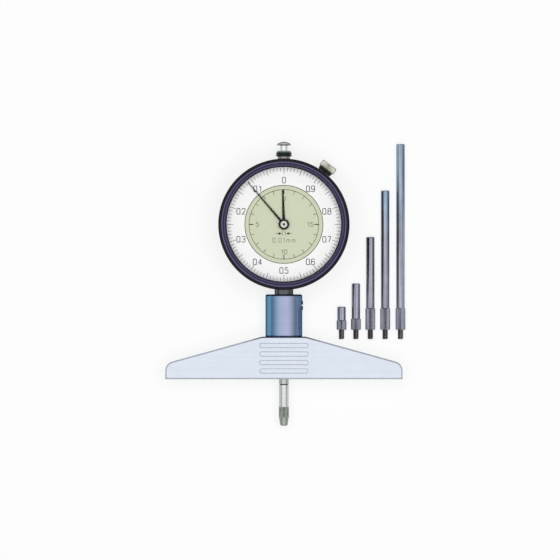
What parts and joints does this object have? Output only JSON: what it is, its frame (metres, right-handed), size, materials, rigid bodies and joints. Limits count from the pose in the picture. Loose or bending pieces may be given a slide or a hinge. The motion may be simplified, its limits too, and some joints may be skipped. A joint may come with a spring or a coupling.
{
  "type": "dial depth gauge",
  "caption": "Dial depth gauge: sloped base bar, holder post, round dial case with turning bezel, lifting knob, knurled contact point, and loose extension rods.",
  "frame": {"origin": "where the spindle axis passes through the measuring face, at half the bar's thickness", "axes": "-Y out of the measuring face, the way the contact point moves out; +Y up the spindle to the dial; +Z out of the dial's face; the gauge lies on its back"},
  "size_m": [0.1031, 0.1219, 0.023],
  "materials": {
    "satin_steel": "hard-chromed base bar, fine satin ground, pale blue grey",
    "blued_steel": "turned steel holder, blued satin",
    "black_steel": "black oxide screw and clamp shoe",
    "polished_steel": "ground and polished hardened steel",
    "contact_steel": "hardened steel contact point with a diamond knurl",
    "rod_steel": "blue-grey ground steel extension rods with knurled grips",
    "brass": "machined movement brass",
    "bronze": "bearing bronze bushes",
    "spring_steel": "spring steel wire and strip",
    "case_enamel": "black-blue enamel on the die-cast case",
    "bezel_enamel": "glossy dark navy enamel on the turned bezel",
    "collar_black": "dark green-black dust collar",
    "dial_green": "pale green count dial with printed scale",
    "dial_white": "white scale ring with a hundred printed divisions",
    "hand_black": "black enamelled hands",
    "crystal": "clear domed crystal",
    "gasket_rubber": "black ring under the crystal",
    "nickel": "warm nickel-plated knob with a fine straight knurl"
  },
  "bodies": {
    "gauge_body": {"base_bar": "satin_steel", "holder_sleeve": "blued_steel", "stem_set_screw": "black_steel", "stem_clamp_pad": "brass", "stem_tube": "polished_steel", "stem_bush": "bronze", "case_ring": "case_enamel", "back_cover": "case_enamel", "back_cover_screws": "polished_steel", "upper_bush": "polished_steel", "dust_collar": "collar_black", "guide_rail": "brass", "rear_plate": "brass", "plate_pillars": "brass", "movement_bridge": "brass", "front_plate": "brass", "plate_screws": "polished_steel", "shaft_bushes": "bronze", "hairspring": "spring_steel", "hairspring_stud": "brass", "return_spring": "spring_steel", "spring_post": "brass", "dial_spacer": "brass", "count_dial": "dial_green", "bezel_wire_ring": "spring_steel", "rod_10": "rod_steel", "rod_20": "rod_steel", "rod_40": "rod_steel", "rod_60": "rod_steel", "rod_80": "rod_steel"},
    "spindle_set": {"spindle": "polished_steel", "contact_point": "contact_steel", "lifting_knob": "polished_steel", "guide_pin": "polished_steel"},
    "drive_set": {"drive_arbor": "polished_steel", "drive_wheel": "brass", "count_pinion": "brass"},
    "pointer_set": {"centre_arbor": "polished_steel", "pointer": "hand_black", "pointer_cap": "polished_steel"},
    "count_set": {"count_wheel": "brass", "count_hand": "hand_black"},
    "hairspring_set": {"hairspring_wheel": "brass", "hairspring_arbor": "polished_steel", "hairspring_collet": "brass"},
    "bezel_set": {"bezel_ring": "bezel_enamel", "scale_ring": "dial_white", "crystal": "crystal", "crystal_gasket": "gasket_rubber"},
    "clamp_shoe_set": {"clamp_shoe": "black_steel"},
    "clamp_knob_set": {"clamp_knob": "nickel", "clamp_screw": "polished_steel"}
  },
  "joints": [
    {"name": "spindle_slide", "type": "slide", "parent": "gauge_body", "child": "spindle_set", "axis": [0, 1, 0], "range_m": [0, 0.0205], "stiffness_N_per_m": 30, "springref_m": -0.02, "deforming": ["return_spring"]},
    {"name": "drive_turn", "type": "hinge", "parent": "gauge_body", "child": "drive_set", "pos_m": [-0.00309, 0.0557, 0], "axis": [0, 0, 1], "range_deg": [-2, 741]},
    {"name": "pointer_turn", "type": "hinge", "parent": "gauge_body", "child": "pointer_set", "pos_m": [0, 0.06626, 0], "axis": [0, 0, 1], "range_deg": [-7401, 20]},
    {"name": "count_turn", "type": "hinge", "parent": "gauge_body", "child": "count_set", "pos_m": [0, 0.06626, 0], "axis": [0, 0, 1], "range_deg": [-371, 1]},
    {"name": "hairspring_turn", "type": "hinge", "parent": "gauge_body", "child": "hairspring_set", "pos_m": [0.00309, 0.07682, 0], "axis": [0, 0, 1], "range_deg": [-2, 741], "deforming": ["hairspring"]},
    {"name": "bezel_turn", "type": "hinge", "parent": "gauge_body", "child": "bezel_set", "pos_m": [0, 0.06626, 0], "axis": [0, 0, 1], "continuous": true},
    {"name": "clamp_shoe_slide", "type": "slide", "parent": "gauge_body", "child": "clamp_shoe_set", "axis": [-0.6088, -0.7934, 0], "range_m": [0, 0.0002]},
    {"name": "clamp_knob_turn", "type": "hinge", "parent": "clamp_shoe_set", "child": "clamp_knob_set", "pos_m": [0.01765, 0.08927, 0.0003], "axis": [-0.6088, -0.7934, 0], "range_deg": [-2, 146]}
  ],
  "couplings": [
    {"joint": "drive_turn", "follows": "spindle_slide", "rad_per_m": 628.32},
    {"joint": "pointer_turn", "follows": "spindle_slide", "rad_per_m": -6283.2},
    {"joint": "count_turn", "follows": "spindle_slide", "rad_per_m": -314.16},
    {"joint": "hairspring_turn", "follows": "spindle_slide", "rad_per_m": 628.32},
    {"joint": "clamp_knob_turn", "follows": "clamp_shoe_slide", "rad_per_m": 12566}
  ]
}
